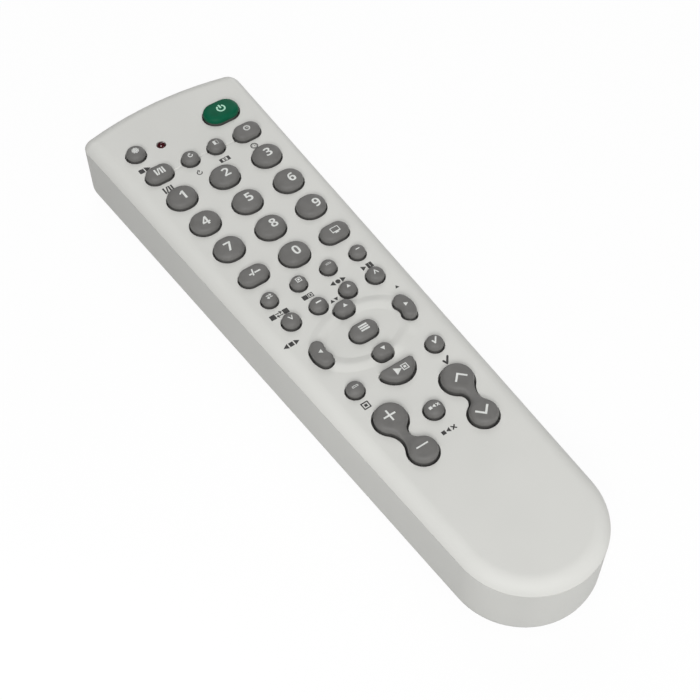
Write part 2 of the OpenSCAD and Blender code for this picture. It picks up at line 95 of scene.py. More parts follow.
class ShaderGraph:
    """Short ways to wire the nodes of one material."""

    def __init__(self, name: str) -> None:
        """Makes a material with one shader and object coordinates.

        Args:
            name: the material's name.
        """
        self.material = bpy.data.materials.new(name)
        self.material.use_nodes = True
        self.tree = self.material.node_tree
        self.shader = self.tree.nodes["Principled BSDF"]
        self.coords = self.tree.nodes.new("ShaderNodeTexCoord").outputs["Object"]

    def constant(self, name: str, value: float) -> None:
        """Sets an input of the shader that is the same all over."""
        self.shader.inputs[name].default_value = value

    def feed(self, name: str, socket: bpy.types.NodeSocket) -> None:
        """Links a socket to one of the shader's inputs."""
        self.tree.links.new(socket, self.shader.inputs[name])

    def noise(self, size: float, detail: float = 2.0) -> bpy.types.NodeSocket:
        """Adds a noise.

        Args:
            size: size of its blotches.
            detail: octaves of finer noise.

        Returns:
            The noise's factor.
        """
        node = self.tree.nodes.new("ShaderNodeTexNoise")
        node.inputs["Scale"].default_value = 1 / (size * MM)
        node.inputs["Detail"].default_value = detail
        self.tree.links.new(self.coords, node.inputs["Vector"])
        return node.outputs["Fac"]

    def along(self, axis: Axis) -> bpy.types.NodeSocket:
        """Reads one object coordinate.

        Args:
            axis: the axis it is measured along.

        Returns:
            The coordinate in metres.
        """
        node = self.tree.nodes.new("ShaderNodeSeparateXYZ")
        self.tree.links.new(self.coords, node.inputs["Vector"])
        return node.outputs[axis.value]

    def spread(self, value: bpy.types.NodeSocket, span: tuple[float, float],
               to: tuple[float, float]) -> bpy.types.NodeSocket:
        """Maps a value from one range to another, clamped.

        Args:
            value: the socket to map.
            span: lowest and highest value that is read.
            to: what they become.

        Returns:
            The mapped value.
        """
        node = self.tree.nodes.new("ShaderNodeMapRange")
        self.tree.links.new(value, node.inputs["Value"])
        for name, number in zip(("From Min", "From Max", "To Min", "To Max"), (*span, *to)):
            node.inputs[name].default_value = number
        return node.outputs["Result"]

    def blend(self, factor: bpy.types.NodeSocket, low: Colour | bpy.types.NodeSocket,
              high: Colour) -> bpy.types.NodeSocket:
        """Mixes two colours.

        Args:
            factor: 0 gives the low colour, 1 the high one.
            low: display colour, or a colour socket, at 0.
            high: display colour at 1.

        Returns:
            The mixed colour.
        """
        node = self.tree.nodes.new("ShaderNodeMix")
        node.data_type = "RGBA"
        self.tree.links.new(factor, node.inputs[MIX_FACTOR])
        if isinstance(low, tuple):
            node.inputs[MIX_LOW].default_value = linear(low)
        else:
            self.tree.links.new(low, node.inputs[MIX_LOW])
        node.inputs[MIX_HIGH].default_value = linear(high)
        return node.outputs[MIX_RESULT]

    def band(self, value: bpy.types.NodeSocket, middle: float, half: float) -> bpy.types.NodeSocket:
        """Marks a band of a coordinate.

        Args:
            value: coordinate in metres.
            middle: middle of the band.
            half: half its width.

        Returns:
            1 inside the band, 0 outside.
        """
        node = self.tree.nodes.new("ShaderNodeMath")
        node.operation = "COMPARE"
        self.tree.links.new(value, node.inputs[0])
        node.inputs[1].default_value = middle * MM
        node.inputs[2].default_value = half * MM
        return node.outputs[0]

    def relief(self, height: bpy.types.NodeSocket, depth: float) -> None:
        """Adds fine surface relief.

        Args:
            height: height pattern from 0 to 1.
            depth: its depth.
        """
        node = self.tree.nodes.new("ShaderNodeBump")
        node.inputs["Distance"].default_value = depth * MM
        self.tree.links.new(height, node.inputs["Height"])
        self.feed("Normal", node.outputs["Normal"])


@dataclass(frozen=True)
class Finish:
    """A surface with mottled colour, uneven gloss and fine grain; the base of all finishes."""

    name: str
    colour: Colour
    shade: Colour
    gloss: tuple[float, float] = (0.35, 0.5)
    mottle: float = 9.0
    grain: float = 0.25
    depth: float = 0.004
    specular: float = 0.5
    mottle_span: tuple[float, float] = (0.35, 0.65)
    grain_span: tuple[float, float] = (0.3, 0.7)
    grain_detail: float = 3.0

    def material(self) -> bpy.types.Material:
        """Returns the finish's material, made on first use."""
        return bpy.data.materials.get(self.name) or self.make()

    def make(self) -> bpy.types.Material:
        """Wires the material.

        Returns:
            The new material.
        """
        graph = ShaderGraph(self.name)
        self.paint(graph)
        grain = graph.noise(self.grain, self.grain_detail)
        graph.feed("Roughness", graph.spread(grain, self.grain_span, self.gloss))
        graph.relief(grain, self.depth)
        graph.constant("Specular IOR Level", self.specular)
        self.extras(graph)
        return graph.material

    def mottled(self, graph: ShaderGraph) -> bpy.types.NodeSocket:
        """Returns the colour and its shade in soft blotches."""
        blotches = graph.spread(graph.noise(self.mottle), self.mottle_span, (0.0, 1.0))
        return graph.blend(blotches, self.colour, self.shade)

    def paint(self, graph: ShaderGraph) -> None:
        """Feeds the base colour."""
        graph.feed("Base Color", self.mottled(graph))

    def extras(self, graph: ShaderGraph) -> None:
        """Sets what a special finish adds; a plain one adds nothing."""


@dataclass(frozen=True)
class SiliconeRubber(Finish):
    """Matt key rubber with a faint powdery sheen, coloured above the face, with painted shade on the stem
    below it where the gap around the key is dark.
    """

    gloss: tuple[float, float] = (0.5, 0.62)
    mottle: float = 2.5
    grain: float = 0.16
    depth: float = 0.003
    specular: float = 0.3
    sheen: float = 0.05
    # painted shade of the gap around the key: full below the first height, gone above the second
    gap_shade: Colour = (88, 87, 85)
    gap_shade_up: tuple[float, float] = (20.15, 20.5)

    def paint(self, graph: ShaderGraph) -> None:
        """Paints shade on the stem towards and below the face, standing in for the dark gap around the key.

        Args:
            graph: the material's nodes.
        """
        span = (self.gap_shade_up[0] * MM, self.gap_shade_up[1] * MM)
        # painted shade: the stem's colour darkens by height into the gap below the face
        deep = graph.spread(graph.along(Axis.Z), span, (1.0, 0.0))
        graph.feed("Base Color", graph.blend(deep, self.mottled(graph), self.gap_shade))

    def extras(self, graph: ShaderGraph) -> None:
        """Adds the powdery sheen."""
        graph.constant("Sheen Weight", self.sheen)


@dataclass(frozen=True)
class ClearResin(Finish):
    """Tinted cast resin that light goes into."""

    gloss: tuple[float, float] = (0.08, 0.16)
    mottle: float = 0.8
    depth: float = 0.001
    clear: float = 0.5
    ior: float = 1.52

    def extras(self, graph: ShaderGraph) -> None:
        """Lets light into the resin."""
        graph.constant("Transmission Weight", self.clear)
        graph.constant("IOR", self.ior)


@dataclass(frozen=True)
class PlatedMetal(Finish):
    """Nickel or zinc plating."""

    gloss: tuple[float, float] = (0.22, 0.38)
    mottle: float = 1.6
    grain: float = 0.12
    depth: float = 0.002

    def extras(self, graph: ShaderGraph) -> None:
        """Makes it metal."""
        graph.constant("Metallic", 1.0)


@dataclass(frozen=True)
class SolderMask(Finish):
    """Lacquered board with paler copper tracks under the lacquer."""

    track: Colour = (54, 120, 70)
    pitch: float = 2.4
    line: float = 0.05

    def paint(self, graph: ShaderGraph) -> None:
        """Draws staggered tracks under the lacquer.

        Args:
            graph: the material's nodes.
        """
        bricks = graph.tree.nodes.new("ShaderNodeTexBrick")
        graph.tree.links.new(graph.coords, bricks.inputs["Vector"])
        for name, colour in (("Color1", self.colour), ("Color2", self.shade), ("Mortar", self.track)):
            bricks.inputs[name].default_value = linear(colour)
        bricks.inputs["Scale"].default_value = 1 / (self.pitch * MM)
        bricks.inputs["Mortar Size"].default_value = self.line
        graph.feed("Base Color", bricks.outputs["Color"])


@dataclass(frozen=True)
class StripedSleeve(Finish):
    """Printed or banded jacket: stripes, each a middle, half a width and a colour, across one axis."""

    axis: Axis = Axis.Y
    stripes: tuple[tuple[float, float, Colour], ...] = ()

    def paint(self, graph: ShaderGraph) -> None:
        """Lays each stripe over the mottled jacket.

        Args:
            graph: the material's nodes.
        """
        shown = self.mottled(graph)
        place = graph.along(self.axis)
        for middle, half, colour in self.stripes:
            shown = graph.blend(graph.band(place, middle, half), shown, colour)
        graph.feed("Base Color", shown)


PRINT_GLOSS = (0.5, 0.65)
SHELL = Finish("satin_white_plastic", (205, 205, 201), (208, 208, 204), gloss=(0.48, 0.6), mottle=26.0,
               specular=0.25)
KEY = SiliconeRubber("grey_key_rubber", (102, 101, 99), (107, 106, 104))
POWER = SiliconeRubber("green_key_rubber", (0, 80, 55), (1, 86, 60), specular=0.15, sheen=0.0)
MAT = Finish("keypad_rubber", (60, 60, 59), (68, 68, 66), gloss=(0.5, 0.62), mottle=6.0)
KEY_INK = Finish("white_key_print", (218, 219, 216), (206, 208, 205), gloss=PRINT_GLOSS, mottle=0.7)
POWER_INK = Finish("pale_green_print", (176, 222, 200), (160, 210, 186), gloss=PRINT_GLOSS, mottle=0.7)
FACE_INK = Finish("black_face_print", (38, 37, 37), (58, 57, 56), gloss=PRINT_GLOSS, mottle=0.6)
RED_LENS = ClearResin("dark_red_lens", (52, 2, 10), (70, 4, 14), clear=0.15)
IR_LENS = ClearResin("clear_ir_lens", (150, 158, 176), (170, 178, 192), clear=0.8)
RESIN = Finish("black_resin", (22, 22, 23), (32, 32, 33), gloss=(0.2, 0.35), mottle=2.0)
CERAMIC = Finish("tan_ceramic", (196, 138, 62), (206, 150, 76), gloss=(0.4, 0.55), mottle=1.5)
STEEL = PlatedMetal("nickel_plate", (176, 174, 168), (192, 190, 184))
ZINC = PlatedMetal("zinc_plate", (158, 160, 162), (176, 178, 180))
BOARD = SolderMask("green_board", (26, 74, 42), (32, 82, 48), gloss=(0.25, 0.4))
CAN = StripedSleeve("capacitor_sleeve", (28, 36, 74), (36, 44, 84), gloss=(0.25, 0.4), axis=Axis.X,
                    stripes=((-11.8, 0.5, (190, 192, 196)),))
BANDED = StripedSleeve("banded_resistor", (206, 178, 132), (214, 188, 144), gloss=(0.3, 0.45), axis=Axis.X,
                       stripes=((-11.2, 0.3, (120, 60, 30)), (-10.2, 0.3, (20, 20, 20)),
                                (-9.2, 0.3, (190, 60, 30)), (-7.2, 0.3, (190, 150, 60))))


def add_piece(name: str, bm: bmesh.types.BMesh, finish: Finish, body: str,
              crease: float = 40.0) -> bpy.types.Object:
    """Turns a bmesh into a finished piece that rides on a body.

    Args:
        name: the piece's name.
        bm: its shape in metres, freed here.
        finish: its surface.
        body: the body it moves with.
        crease: edges that turn more than this stay sharp.

    Returns:
        The new object.
    """
    for face in bm.faces:
        face.smooth = True
    mesh = bpy.data.meshes.new(name)
    bm.to_mesh(mesh)
    bm.free()
    mesh.set_sharp_from_angle(angle=math.radians(crease))
    mesh.materials.append(finish.material())
    piece = bpy.data.objects.new(name, mesh)
    bpy.context.scene.collection.objects.link(piece)
    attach(piece, body)
    LOG.info("%s: %d faces on %s", name, len(mesh.polygons), body)
    return piece


def chain(bm: bmesh.types.BMesh, points: list[Vector]) -> None:
    """Draws a line through points.

    Args:
        bm: where it is drawn.
        points: its corners in metres.
    """
    verts = bmesh.ops.create_vert(bm, co=points[0])["vert"]
    for start, end in zip(points, points[1:]):
        verts = bmesh.ops.extrude_vert_indiv(bm, verts=verts)["verts"]
        bmesh.ops.translate(bm, vec=end - start, verts=verts)


def loft(rings: list[list[Vector]]) -> bmesh.types.BMesh:
    """Skins closed rings of equally many points and caps both ends.

    Args:
        rings: points of each ring in metres, from the lowest ring to the highest.

    Returns:
        The closed solid.
    """
    bm = bmesh.new()
    bmesh.ops.create_circle(bm, segments=len(rings[0]), radius=1.0)
    for vert, point in zip(bm.verts, rings[0]):
        vert.co = point
    edges = bm.edges[:]
    bmesh.ops.contextual_create(bm, geom=edges)
    for below, above in zip(rings, rings[1:]):
        moves = {start.to_tuple(): end for start, end in zip(below, above)}
        made = bmesh.ops.extrude_edge_only(bm, edges=edges)["geom"]
        edges = [g for g in made if isinstance(g, bmesh.types.BMEdge)]
        for vert in {v for edge in edges for v in edge.verts}:
            vert.co = moves[vert.co.to_tuple()]
    bmesh.ops.contextual_create(bm, geom=edges)
    bmesh.ops.recalc_face_normals(bm, faces=bm.faces)
    return bm


def lathe(profile: list[tuple[float, float]], steps: int = 48) -> bmesh.types.BMesh:
    """Turns a profile about the Z axis.

    Args:
        profile: radius and height of its corners, from the lower end to the upper one.
        steps: faces round the axis.

    Returns:
        The closed solid.
    """
    bm = bmesh.new()
    chain(bm, [Vector((r, 0, z)) * MM for r, z in profile])
    bmesh.ops.spin(bm, geom=bm.verts[:] + bm.edges[:], cent=(0, 0, 0), axis=(0, 0, 1), angle=2 * math.pi,
                   steps=steps, use_merge=True)
    bmesh.ops.remove_doubles(bm, verts=bm.verts, dist=WELD)
    bmesh.ops.recalc_face_normals(bm, faces=bm.faces)
    return bm


@dataclass
class SolidPart:
    """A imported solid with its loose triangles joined, its edges eased and a finish of its own."""

    node: str
    finish: Finish
    slot: str
    body: str = CASE
    edge: float = 0.2
    edge_steps: int = 2
    flat: float = 0.4
    sharp: float = 32.0

    def shape(self) -> bmesh.types.BMesh:
        """Joins the solid's loose triangles.

        Returns:
            Its surface, with flat stretches as single faces.
        """
        bm = bmesh.new()
        bm.from_mesh(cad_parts[self.node].data)
        bmesh.ops.remove_doubles(bm, verts=bm.verts, dist=WELD)
        bmesh.ops.dissolve_limit(bm, angle_limit=math.radians(self.flat), verts=bm.verts, edges=bm.edges)
        return bm

    def build(self) -> bpy.types.Object:
        """Builds the part and eases its sharp edges.

        Returns:
            The part.
        """
        piece = add_piece(self.node + "_part", self.shape(), self.finish, self.body, crease=self.sharp)
        if self.edge > 0:
            bevel = piece.modifiers.new("soft_edges", "BEVEL")
            bevel.width = self.edge * MM
            bevel.segments = self.edge_steps
            bevel.limit_method = "ANGLE"
            bevel.angle_limit = math.radians(self.sharp)
            piece.modifiers.new("even_shading", "WEIGHTED_NORMAL")
        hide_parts(self.node)
        return piece


@dataclass(frozen=True)
class Arc:
    """A stretch of an outline; one with a negative sweep is a hollow."""

    x: float
    y: float
    radius: float
    start: float
    sweep: float
    steps: int = 14

    def backwards(self) -> "Arc":
        """Returns the arc drawn from its other end."""
        return Arc(self.x, self.y, self.radius, self.start + self.sweep, -self.sweep, self.steps)

    def mirrored(self, x: float) -> "Arc":
        """Returns the arc mirrored about the line at x."""
        return Arc(2 * x - self.x, self.y, self.radius, 180 - self.start, -self.sweep, self.steps)

    def points(self, height: float) -> list[Vector]:
        """Draws the arc.

        Args:
            height: the height that it is drawn at.

        Returns:
            Points along it in metres.
        """
        turns = [math.radians(self.start + self.sweep * i / self.steps) for i in range(self.steps + 1)]
        return [Vector((self.x + self.radius * math.cos(t), self.y + self.radius * math.sin(t), height)) * MM
                for t in turns]


def ring(arcs: list[Arc], height: float) -> list[Vector]:
    """Joins arcs to a closed ring.

    Args:
        arcs: the stretches of an outline in order.
        height: the height that they are drawn at.

    Returns:
        Points of the ring in metres, each of them once.
    """
    points = [p for arc in arcs for p in arc.points(height)]
    return [p for p, after in zip(points, points[1:] + points[:1]) if (after - p).length > WELD]


@dataclass(frozen=True)
class Mark:
    """A printed sign: characters of the built-in font, their larger size and their place."""

    signs: str
    size: float
    x: float = 0.0
    y: float = 0.0
    bold: float = 0.0


@dataclass
class Print:
    """Ink laid over a surface: a thin slab draped on it from above."""

    lift: float = 0.015
    sink: float = 0.02
    step: float = 0.4
    passes: int = 4
    curve_steps: int = 4
    join: float = 0.005
    drop: float = 1000.0

    def letter(self, mark: Mark) -> bmesh.types.BMesh:
        """Draws a mark flat, its middle at the origin.

        Args:
            mark: what to draw.

        Returns:
            Its outline filled with faces.
        """
        text = bpy.data.curves.new("mark", "FONT")
        text.body = mark.signs
        text.offset = mark.bold
        text.resolution_u = self.curve_steps
        holder = bpy.data.objects.new("mark", text)
        bpy.context.scene.collection.objects.link(holder)
        view = bpy.context.evaluated_depsgraph_get()
        flat = bpy.data.meshes.new_from_object(holder.evaluated_get(view))
        bpy.data.objects.remove(holder)
        bm = bmesh.new()
        bm.from_mesh(flat)
        bpy.data.meshes.remove(flat)
        low = Vector([min(v.co[i] for v in bm.verts) for i in range(3)])
        high = Vector([max(v.co[i] for v in bm.verts) for i in range(3)])
        bmesh.ops.translate(bm, vec=-(low + high) / 2, verts=bm.verts)
        scale = mark.size * MM / max(high - low)
        bmesh.ops.scale(bm, vec=(scale, scale, scale), verts=bm.verts)
        bmesh.ops.remove_doubles(bm, verts=bm.verts, dist=self.join * MM)
        return bm

    def lay(self, name: str, mark: Mark, centre: Vector, ground: BVHTree, finish: Finish,
            body: str) -> bpy.types.Object:
        """Lays a mark on a surface.

        Args:
            name: the piece's name.
            mark: what to print.
            centre: where its place is counted from, in metres.
            ground: the surface.
            finish: the ink.
            body: the body that the surface belongs to.

        Returns:
            The printed piece.
        """
        bm = self.letter(mark)
        for _ in range(self.passes):
            long = [e for e in bm.edges if e.calc_length() > self.step * MM]
            if long:
                bmesh.ops.subdivide_edges(bm, edges=long, cuts=1)
                bmesh.ops.triangulate(bm, faces=bm.faces)
        bmesh.ops.translate(bm, vec=(centre.x + mark.x * MM, centre.y + mark.y * MM, 0), verts=bm.verts)
        for vert in bm.verts:
            hit = ground.ray_cast(Vector((vert.co.x, vert.co.y, self.drop * MM)), DOWN)[0]
            vert.co.z = hit.z - self.sink * MM
        raised = bmesh.ops.extrude_face_region(bm, geom=bm.faces[:])["geom"]
        bmesh.ops.translate(bm, vec=(0, 0, (self.lift + self.sink) * MM),
                            verts=[v for v in raised if isinstance(v, bmesh.types.BMVert)])
        bmesh.ops.recalc_face_normals(bm, faces=bm.faces)
        return add_piece(name, bm, finish, body)


@dataclass
class RubberKey:
    """A straight or round key: a flange that keeps it behind the face, a waisted stem and a dome."""

    node: str
    marks: tuple[Mark, ...] = ()
    finish: Finish = KEY
    ink: Finish = KEY_INK
    slot: str = "key_grey"
    flange: float = 0.5
    flange_t: float = 0.95
    proud: float = 2.2
    slack: float = 0.12
    waist: float = 0.4
    waist_up: float = 0.25
    lip_up: float = 0.55
    dome: float = 1.5
    power: float = 3.4
    reach: float = 0.97
    rings: int = 9
    round_under: float = 0.1
    ink_room: float = 0.02
    bite: float = 0.03
    fill_t: float = 1.2
    fill_sunk: float = 0.0075
    round_steps: int = 32

    def __post_init__(self) -> None:
        """Reads the key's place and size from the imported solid."""
        low, high = (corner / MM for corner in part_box(self.node))
        self.middle = (low + high) / 2
        self.side = math.copysign(1, self.middle.x)
        self.bottom, self.top = low.z, high.z - self.ink_room
        self.half_x = (high.x - low.x) / 2 - self.flange
        self.half_y = (high.y - low.y) / 2 - self.flange

    def outline(self, grow: float) -> list[Arc]:
        """Draws the stem's outline.

        Args:
            grow: how far it is offset outwards.

        Returns:
            Its arcs, counterclockwise.
        """
        x, y, radius = self.middle.x, self.middle.y, self.half_y + grow
        half = self.half_x - self.half_y
        if half < self.round_under:
            return [Arc(x, y, radius, 0, 360, self.round_steps)]
        return [Arc(x + half, y, radius, -90, 180), Arc(x - half, y, radius, 90, 180)]

    def round_over(self) -> float:
        """Returns how far in from the stem the dome levels out."""
        return self.half_y - self.slack

    def profile(self) -> list[tuple[float, float]]:
        """Works out the rings of the dome.

        Returns:
            Inset and height of each, from the dome's foot to its top.
        """
        turns = [math.acos((1 - self.reach) ** (self.power / 2)) * i / self.rings
                 for i in range(1, self.rings + 1)]
        bend = 2 / self.power
        rings = [(1 - math.cos(t) ** bend, math.sin(t) ** bend) for t in turns]
        return [(self.round_over() * d, self.dome * h / rings[-1][1]) for d, h in rings]

    def levels(self) -> list[tuple[float, float]]:
        """Works out all rings of the key.

        Returns:
            Growth and height of each, from the key's bottom to its top.
        """
        face, foot = self.top - self.proud, self.top - self.dome
        seat = self.bottom + self.flange_t
        stem = [(self.flange, self.bottom), (self.flange, seat), (-self.waist, seat),
                (-self.waist, face + self.waist_up), (-self.slack, face + self.lip_up), (-self.slack, foot)]
        return stem + [(-self.slack - inset, foot + height) for inset, height in self.profile()]

    def shape(self) -> bmesh.types.BMesh:
        """Builds the key and returns it."""
        return loft([ring(self.outline(grow), height) for grow, height in self.levels()])

    def fill_hole(self, name: str, arcs: list[Arc]) -> bpy.types.Object:
        """Fills a corner of the hole in the face, so that the hole follows the key.

        Args:
            name: the corner's name.
            arcs: its outline.

        Returns:
            The filling.
        """
        face = self.top + self.ink_room - self.proud - self.fill_sunk
        bm = loft([ring(arcs, height) for height in (face - self.fill_t, face)])
        piece = add_piece(f"{self.node}_{name}", bm, SHELL, CASE)
        return piece

    def build(self) -> bpy.types.Object:
        """Builds the key and its prints.

        Returns:
            The key.
        """
        bm = self.shape()
        ground = BVHTree.FromBMesh(bm)
        piece = add_piece(self.node + "_cap", bm, self.finish, self.node)
        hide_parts(self.node)
        for number, mark in enumerate(self.marks):
            Print().lay(f"{self.node}_print_{number}", mark, self.middle * MM, ground, self.ink, self.node)
        return piece


@dataclass
class ButtonKey(RubberKey):
    """A small round key with a fuller dome."""

    power: float = 2.6


@dataclass
class BeanKey(RubberKey):
    """Kidney-shaped key beside the ring, its hollow towards the middle."""

    bend_r: float = 4.4
    bend_a: float = 26.0
    thick: float = 3.8

    def outline(self, grow: float) -> list[Arc]:
        """Draws the stem's outline.

        Args:
            grow: how far it is offset outwards.

        Returns:
            Its arcs, counterclockwise.
        """
        x = self.middle.x + self.side * (self.half_x - self.thick / 2 - self.bend_r)
        y = self.middle.y
        turn = 0 if self.side > 0 else 180
        half = self.thick / 2 + grow
        ends = [math.radians(turn + s * self.bend_a) for s in (1, -1)]
        upper, lower = [(x + self.bend_r * math.cos(t), y + self.bend_r * math.sin(t)) for t in ends]
        return [Arc(x, y, self.bend_r + half, turn - self.bend_a, 2 * self.bend_a),
                Arc(*upper, half, turn + self.bend_a, 180),
                Arc(x, y, self.bend_r - half, turn + self.bend_a, -2 * self.bend_a),
                Arc(*lower, half, turn - self.bend_a + 180, 180)]

    def round_over(self) -> float:
        """Returns how far in from the stem the dome levels out."""
        return self.thick / 2 - self.slack


@dataclass
class MoonKey(RubberKey):
    """Half-moon key under the ring, its straight side towards the head, and the soft corners of its hole."""

    corner: float = 1.0
    corner_least: float = 0.06
    bulge: float = 0.09
    round_w: float = 1.6
    reach: float = 0.8
    gap: float = 0.25
    corner_steps: int = 6
    belly_steps: int = 24
    sharp_steps: int = 4

    def arcs(self, grow: float) -> tuple[Arc, Arc]:
        """Works out the arcs of the outline.

        Args:
            grow: how far it is offset outwards.

        Returns:
            Its right-hand corner and its round side.
        """
        radius = self.half_x + self.bulge
        x, y = self.middle.x, self.middle.y - self.half_y + radius
        corner = max(self.corner + grow, self.corner_least)
        corner_y = self.middle.y + self.half_y + grow - corner
        corner_x = math.sqrt((radius + grow - corner) ** 2 - (corner_y - y) ** 2)
        turn = math.degrees(math.atan2(corner_y - y, corner_x))
        return (Arc(x + corner_x, corner_y, corner, turn, 90 - turn, self.corner_steps),
                Arc(x, y, radius + grow, 180 - turn, 180 + 2 * turn, self.belly_steps))

    def outline(self, grow: float) -> list[Arc]:
        """Returns the arcs of the stem's outline, counterclockwise."""
        right, belly = self.arcs(grow)
        return [right, right.mirrored(self.middle.x).backwards(), belly]

    def round_over(self) -> float:
        """Returns how far in from the stem the dome levels out."""
        return self.round_w

    def hole_corner(self) -> list[Arc]:
        """Draws the filling of the hole's sharp right-hand corner.

        Returns:
            The arcs of its outline.
        """
        right, belly = self.arcs(self.gap)
        top = self.middle.y + self.half_y + self.gap + self.bite
        reach = belly.radius + self.bite
        sharp = math.degrees(math.asin((top - belly.y) / reach))
        return [right.backwards(),
                Arc(belly.x, belly.y, reach, right.start, sharp - right.start, self.sharp_steps)]

    def build(self) -> bpy.types.Object:
        """Builds the key and the corners of its hole.

        Returns:
            The key.
        """
        corner = self.hole_corner()
        self.fill_hole("hole_corner_right", corner)
        self.fill_hole("hole_corner_left", [arc.mirrored(self.middle.x) for arc in corner])
        return super().build()


@dataclass
class RockerKey(RubberKey):
    """Dog-bone rocker: two lobes, a neck with a deep notch on its inner side, and a saddle in its top."""

    lobe_up: float = 4.1
    lobe_down: float = 3.6
    neck_out: float = 1.87
    neck_in: float = 0.65
    neck_share: float = 0.6
    gap: float = 0.4
    round_w: float = 1.7
    power: float = 3.0
    reach: float = 0.9
    dip: float = 0.9
    dip_at: float = 0.56
    dip_half: float = 3.4
    cut: float = 0.5
    cut_below: float = 0.01
    cut_snap: float = 0.0005
    lobe_steps: int = 36
    neck_steps: int = 10
    lip_steps: int = 6

    def __post_init__(self) -> None:
        """Reads the key's place and finds its lobes and its long axis."""
        super().__post_init__()
        x, y = self.middle.x, self.middle.y
        self.upper = Vector((x + self.side * (self.half_x - self.lobe_up), y + self.half_y - self.lobe_up, 0))
        self.lower = Vector((x - self.side * (self.half_x - self.lobe_down),
                             y - self.half_y + self.lobe_down, 0))
        self.span = (self.lower - self.upper).length
        self.axis = (self.lower - self.upper) / self.span
        self.turn = math.degrees(math.atan2(self.axis.y, self.axis.x))

    def hollow(self, half: float, grow: float, hand: float) -> tuple[Arc, float, float]:
        """Finds the arc that hollows one side of the neck.

        Args:
            half: distance of the neck's side from the long axis.
            grow: how far the outline is offset; the neck takes only a share of what the dome moves in.
            hand: 1 for the side to the left of the long axis, seen from the upper lobe, -1 for the other.

        Returns:
            The arc from the upper lobe to the lower one, and the angles at which both lobes meet it.
        """
        half += max(grow, -self.slack) + self.neck_share * min(grow + self.slack, 0)
        up, down = self.lobe_up + grow, self.lobe_down + grow
        lean = (up - down) / self.span
        middle = (self.span ** 2 + up ** 2 - down ** 2) / (2 * self.span)
        room = up - half - middle * lean
        rest = middle ** 2 + half ** 2 - up ** 2
        radius = rest / (room + math.sqrt(room ** 2 - lean ** 2 * rest))
        along, across = middle + lean * radius, half + radius
        at_up = math.degrees(math.atan2(across, along))
        at_down = math.degrees(math.atan2(across, self.span - along))
        place = self.upper + self.axis * along + Vector((-self.axis.y, self.axis.x, 0)) * across * hand
        arc = Arc(place.x, place.y, radius, self.turn + hand * (180 + at_up), hand * (180 - at_up - at_down),
                  self.neck_steps)
        return arc, at_up, at_down

    def outline(self, grow: float) -> list[Arc]:
        """Draws the stem's outline.

        Args:
            grow: how far it is offset outwards.

        Returns:
            Its arcs, counterclockwise.
        """
        half = {-self.side: self.neck_in, self.side: self.neck_out}
        right, right_up, right_down = self.hollow(half[-1], grow, -1)
        left, left_up, left_down = self.hollow(half[1], grow, 1)
        return [Arc(self.upper.x, self.upper.y, self.lobe_up + grow, self.turn + left_up,
                    360 - left_up - right_up, self.lobe_steps),
                right,
                Arc(self.lower.x, self.lower.y, self.lobe_down + grow, self.turn - 180 + right_down,
                    360 - right_down - left_down, self.lobe_steps),
                left.backwards()]

    def notch(self) -> list[Arc]:
        """Draws the filling between the hole and the notch.

        Returns:
            The arcs of its outline.
        """
        hand = -self.side
        near, near_up, near_down = self.hollow(self.neck_in, self.gap, hand)
        far, far_up, far_down = self.hollow(self.neck_out, self.gap, hand)
        back = far.backwards()
        return [Arc(self.upper.x, self.upper.y, self.lobe_up + self.gap, self.turn + hand * far_up,
                    hand * (near_up - far_up), self.lip_steps),
                near,
                Arc(self.lower.x, self.lower.y, self.lobe_down + self.gap,
                    self.turn + hand * (180 - near_down), hand * (near_down - far_down), self.lip_steps),
                Arc(back.x, back.y, back.radius - self.bite, back.start, back.sweep, back.steps)]

    def build(self) -> bpy.types.Object:
        """Builds the rocker and the filling in its hole and returns the rocker."""
        self.fill_hole("hole_notch", self.notch())
        return super().build()

    def round_over(self) -> float:
        """Returns how far in from the stem the top levels out."""
        return self.round_w

    def shape(self) -> bmesh.types.BMesh:
        """Builds the rocker, then cuts its top across and sinks a saddle into it.

        Returns:
            The rocker.
        """
        bm = super().shape()
        foot = self.top - self.dome
        start, axis = self.upper * MM, self.axis
        for i in range(1, int(self.span / self.cut)):
            high = [f for f in bm.faces if min(v.co.z for v in f.verts) > (foot - self.cut_below) * MM]
            geom = list(dict.fromkeys(g for f in high for g in (*f.verts, *f.edges))) + high
            bmesh.ops.bisect_plane(bm, geom=geom, plane_co=start + axis * i * self.cut * MM, plane_no=axis,
                                   dist=self.cut_snap * MM)
        for vert in bm.verts:
            share = (vert.co.z / MM - foot) / self.dome
            away = ((vert.co - start).dot(axis) / MM - self.dip_at * self.span) / self.dip_half
            if share > 0 and abs(away) < 1:
                vert.co.z -= self.dip * MM * share * math.cos(away * math.pi / 2) ** 2
        return bm


